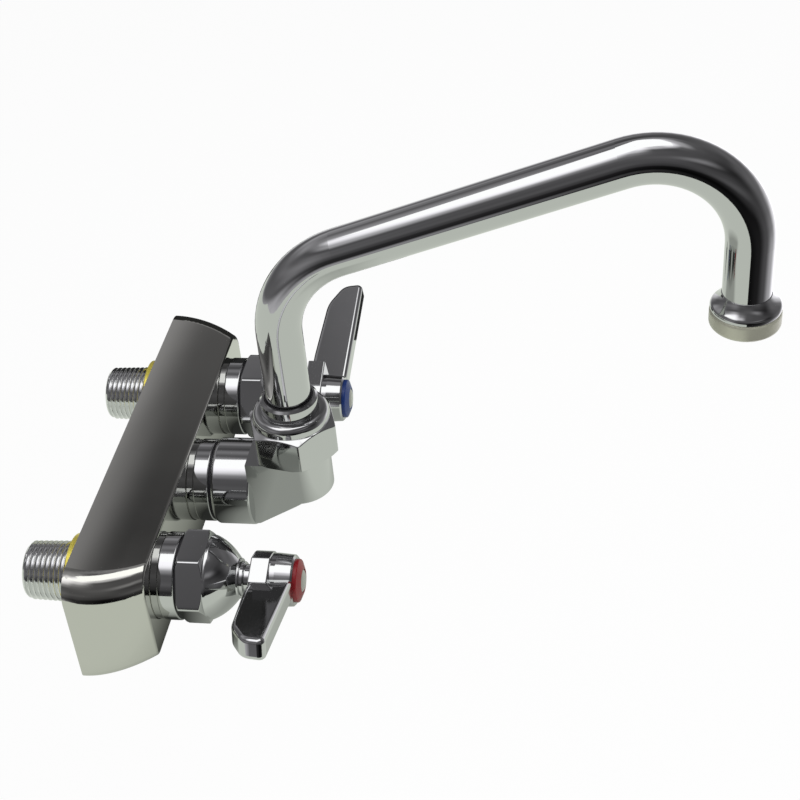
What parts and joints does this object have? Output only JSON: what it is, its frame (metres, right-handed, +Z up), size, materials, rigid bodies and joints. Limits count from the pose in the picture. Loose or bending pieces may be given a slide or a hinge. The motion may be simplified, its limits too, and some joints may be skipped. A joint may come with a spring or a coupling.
{
  "type": "two-handle wall-mount faucet",
  "caption": "Wall-mount mixing faucet: bar body, two quarter-turn lever valves, a centre outlet elbow and a rising swivel spout.",
  "frame": {"origin": "centre of the body's flat back face, midway between the two inlets, on the wall's plane", "axes": "+X along the body from the hot valve to the cold valve, +Y into the wall, +Z up; the spout stands out towards -Y"},
  "size_m": [0.2028, 0.2528, 0.1606],
  "materials": {
    "chrome": "polished chrome plate on cast and drawn brass",
    "plated_thread": "chrome plate over cut threads",
    "raw_brass": "turned, unplated",
    "machined_brass": "machined",
    "satin_steel": "satin",
    "rubber": "moulded black rubber",
    "ceramic": "polished by lapping",
    "white_plastic": "moulded",
    "red_plastic": "moulded",
    "blue_plastic": "moulded",
    "clear_plastic": "moulded, clear over a metallised back"
  },
  "bodies": {
    "faucet_body": {"body": "chrome", "outlet_washer": "chrome", "outlet_ring": "chrome", "outlet_seal": "rubber", "elbow": "chrome", "swivel_nut": "chrome", "gland": "chrome", "wiper": "rubber", "hot_shank": "plated_thread", "hot_seat_ring": "raw_brass", "hot_washer": "chrome", "hot_ring": "chrome", "hot_seal": "rubber", "hot_bonnet": "chrome", "hot_seat_washer": "rubber", "hot_housing": "chrome", "hot_fixed_disc": "ceramic", "cold_shank": "plated_thread", "cold_seat_ring": "raw_brass", "cold_washer": "chrome", "cold_ring": "chrome", "cold_seal": "rubber", "cold_bonnet": "chrome", "cold_seat_washer": "rubber", "cold_housing": "chrome", "cold_fixed_disc": "ceramic"},
    "spout": {"spout_tube": "chrome", "spout_sleeve": "machined_brass", "spout_o_rings": "rubber", "split_ring": "machined_brass", "spout_flare": "chrome", "tip_nut": "satin_steel", "tip_washer": "rubber", "aerator": "white_plastic"},
    "hot_handle_group": {"hot_moving_disc": "ceramic", "hot_stem": "chrome", "hot_handle": "chrome", "hot_screw": "satin_steel", "hot_index": "red_plastic", "hot_button": "clear_plastic"},
    "cold_handle_group": {"cold_moving_disc": "ceramic", "cold_stem": "chrome", "cold_handle": "chrome", "cold_screw": "satin_steel", "cold_index": "blue_plastic", "cold_button": "clear_plastic"}
  },
  "joints": [
    {"name": "hot_handle_turn", "type": "hinge", "parent": "faucet_body", "child": "hot_handle_group", "pos_m": [-0.0508, -0.06, 0], "axis": [0, 1, 0], "range_deg": [-20, 70]},
    {"name": "cold_handle_turn", "type": "hinge", "parent": "faucet_body", "child": "cold_handle_group", "pos_m": [0.0508, -0.06, 0], "axis": [0, -1, 0], "range_deg": [-20, 70]},
    {"name": "spout_swivel", "type": "hinge", "parent": "faucet_body", "child": "spout", "pos_m": [0, -0.063, 0.03], "axis": [0, 0, 1], "range_deg": [-107.5, 102.5]}
  ]
}
